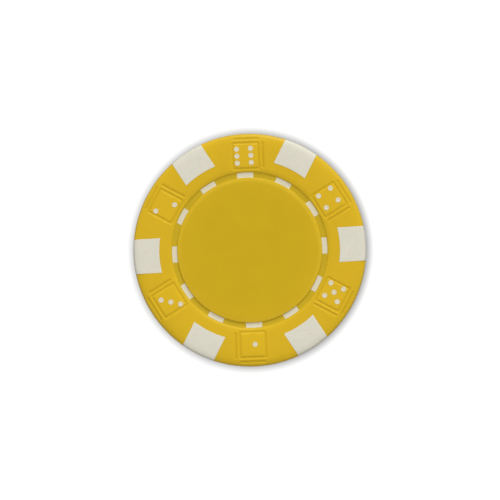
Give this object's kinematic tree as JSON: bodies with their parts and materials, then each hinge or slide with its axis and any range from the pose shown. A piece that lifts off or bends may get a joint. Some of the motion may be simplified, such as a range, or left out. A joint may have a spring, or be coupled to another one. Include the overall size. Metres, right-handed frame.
{
  "type": "poker chip",
  "caption": "Round moulded poker chip with edge inserts, a ring groove with bars, engraved dice with pips and a bare label disc on each face, over a steel slug.",
  "frame": {"origin": "on the chip's axis, in the plane of the lower rim face that the chip lies on", "axes": "+Z along the chip's axis, up out of the front face; +Y towards the six on the front; +X towards the edge insert between the four and the five"},
  "size_m": [0.04, 0.04, 0.0033],
  "materials": {
    "yellow_plastic": "satin moulded, fine grain",
    "white_plastic": "satin moulded, faint flow marks",
    "slug_steel": "plain stamped steel"
  },
  "bodies": {
    "root": {"steel_slug": "slug_steel", "core_ring": "white_plastic", "front_shell": "yellow_plastic", "back_shell": "yellow_plastic", "front_ring_bars": "white_plastic", "back_ring_bars": "white_plastic", "edge_insert_1": "white_plastic", "edge_insert_2": "white_plastic", "edge_insert_3": "white_plastic", "edge_insert_4": "white_plastic", "edge_insert_5": "white_plastic", "edge_insert_6": "white_plastic", "front_pips_one": "white_plastic", "front_pips_two": "white_plastic", "front_pips_three": "white_plastic", "front_pips_four": "white_plastic", "front_pips_five": "white_plastic", "front_pips_six": "white_plastic", "back_pips_one": "white_plastic", "back_pips_two": "white_plastic", "back_pips_three": "white_plastic", "back_pips_four": "white_plastic", "back_pips_five": "white_plastic", "back_pips_six": "white_plastic"}
  },
  "joints": []
}
